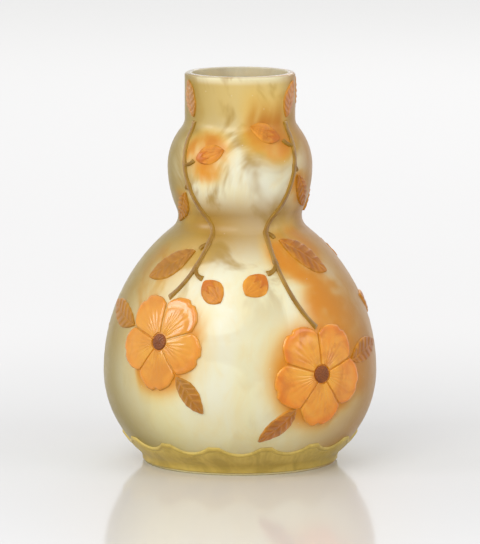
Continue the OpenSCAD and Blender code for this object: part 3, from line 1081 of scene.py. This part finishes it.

# %% [markdown]
# ## The table
# The vase stands on a pale glossy table, which mirrors it faintly, as any polished surface does near
# grazing. A wide disc is enough for it. Its grey lightens with the distance from the vase, and a painted
# pool of warm light lies before the foot, standing in for the light that has come through the glass.
# Both are read from Object coordinates.

# %% Table
bm = bmesh.new()
bmesh.ops.create_circle(bm, cap_ends=True, segments=96, radius=7)
mesh = bpy.data.meshes.new("table")
bm.to_mesh(mesh)
bm.free()
table = linked("table", mesh)
table.location.z = -0.1 * MM
print("table", round(table.dimensions.x, 1), "m across")

# %% Table: grey that lightens outwards, and painted warm light before the foot
table_mat, tree, shader = new_finish("polished pale table", {"Roughness": 0.1, "IOR": 1.45,
                                                             "Specular IOR Level": 0.19})
place = add(tree, "TexCoord")["Object"]
away = add(tree, "VectorMath", {0: place}, operation="LENGTH")["Value"]
# painted light: a warm pool just before the foot stands in for light that has come through the glass
painted_glow_place = add(tree, "Mapping", {"Vector": place, "Location": (0, 1.0, 0), "Scale": (13, 6, 0)})["Vector"]
painted_glow_distance = add(tree, "VectorMath", {0: painted_glow_place}, operation="LENGTH")["Value"]
pale = blend(tree, spread(tree, away, 0.1, 0.5), srgb(219, 220, 222), srgb(238, 238, 240))
pale = laid_over(tree, pale, (spread(tree, away, 1.5, 2.6), (253, 253, 254)),
                 (spread(tree, painted_glow_distance, 1.5, 0.1), (228, 223, 216)))
wire(tree, (pale, shader.inputs["Base Color"]))
table.data.materials.append(table_mat)

# %% [markdown]
# The table would hide the vase in a view from below, and would keep all light from the recess under the
# foot. So it isn't seen from its own underside, and light that comes up to the foot passes through it.

# %% Table: open from below and under the foot
from_below = add(tree, "NewGeometry")["Backfacing"]
is_diffuse = add(tree, "LightPath")["Is Diffuse Ray"]
under_foot = math_node(tree, "LESS_THAN", away, foot_r * MM)
let_through = math_node(tree, "MAXIMUM", from_below, times(tree, under_foot, is_diffuse))
unseen = add(tree, "BsdfTransparent")["BSDF"]
either = add(tree, "MixShader", {0: let_through, 1: shader.outputs["BSDF"], 2: unseen})["Shader"]
wire(tree, (either, tree.nodes["Material Output"].inputs["Surface"]))
print("table material", table_mat.name)

# %% [markdown]
# ## Light
# A white tent round an object gives even light from all sides, so the world is one plain colour. What
# the camera sees of it, straight, mirrored or through glass, is brighter than the light it sheds. Four
# soft lamps give the light a direction: a key from the front left, a small window at the side that
# leaves a highlight on the glass, a fill at the right, and one behind that lights the far wall and the
# mouth.

# %% World
world = bpy.data.worlds.new("studio")
bpy.context.scene.world = world
world.use_nodes = True
tree = world.node_tree
tree.nodes.clear()
path = add(tree, "LightPath")
seen = math_node(tree, "MAXIMUM", path["Is Camera Ray"],
                 math_node(tree, "MAXIMUM", path["Is Glossy Ray"], path["Is Transmission Ray"]))
lit = add(tree, "Background", {"Color": (1.0, 0.99, 0.97, 1), "Strength": 0.69})[0]
shown = add(tree, "Background", {"Color": (0.98, 0.98, 0.98, 1), "Strength": 1.0})[0]
add(tree, "OutputWorld", {"Surface": add(tree, "MixShader", {0: seen, 1: lit, 2: shown})[0]})
print("world", world.name, "with", len(tree.nodes), "nodes")

# %% Lamps
def aimed(made, place, at):
    """Puts a lamp or the camera at a place and turns it towards the point at."""
    made.location = place
    made.rotation_euler = (at - made.location).to_track_quat("-Z", "Y").to_euler()


# name, place and size in metres, watts, colour
lamps = [("key softbox", (-0.65, -1.3, 1.3), 1.15, 10.8, (1.0, 0.98, 0.95)),
         ("side window", (-1.2, -0.5, 0.66), 0.45, 4, (0.96, 0.97, 1.0)),
         ("fill softbox", (1.3, -0.8, 0.9), 1.0, 4.8, (1.0, 0.98, 0.95)),
         ("back softbox", (0.2, 1.8, 1.3), 1.4, 8.5, (1.0, 0.99, 0.98))]
for name, place, size, watts, tint in lamps:
    data = bpy.data.lights.new(name, "AREA")
    data.shape, data.size, data.energy, data.color = "DISK", size, watts, tint
    aimed(linked(name, data), place, Vector((0, 0, 0.1)))
print(len(lamps), "lamps")

# %% [markdown]
# ## Camera
# The photograph looks down on the vase by about 8 degrees, and its foot and its rim are almost equally
# flat ovals, so the camera stood far away with a long lens. Ours stands 2.7 m away, and the lens follows
# from that and from how much of the scene the frame holds.

# %% Camera
aim_at = Vector((0, 0, 0.097))
frame_pixels, mm_a_pixel, sensor = 544, 0.512, 36
camera_data = bpy.data.cameras.new("camera")
camera_data.sensor_width = sensor
camera = linked("camera", camera_data)
bpy.context.scene.camera = camera
aimed(camera, (0, -2.7, 0.477), aim_at)
camera_data.lens = sensor * (aim_at - camera.location).length / (frame_pixels * mm_a_pixel * MM)
camera_data.clip_start, camera_data.clip_end = 0.1, 30
print("lens", round(camera_data.lens, 1), "mm")
bpy.context.scene.view_settings.view_transform = "Standard"
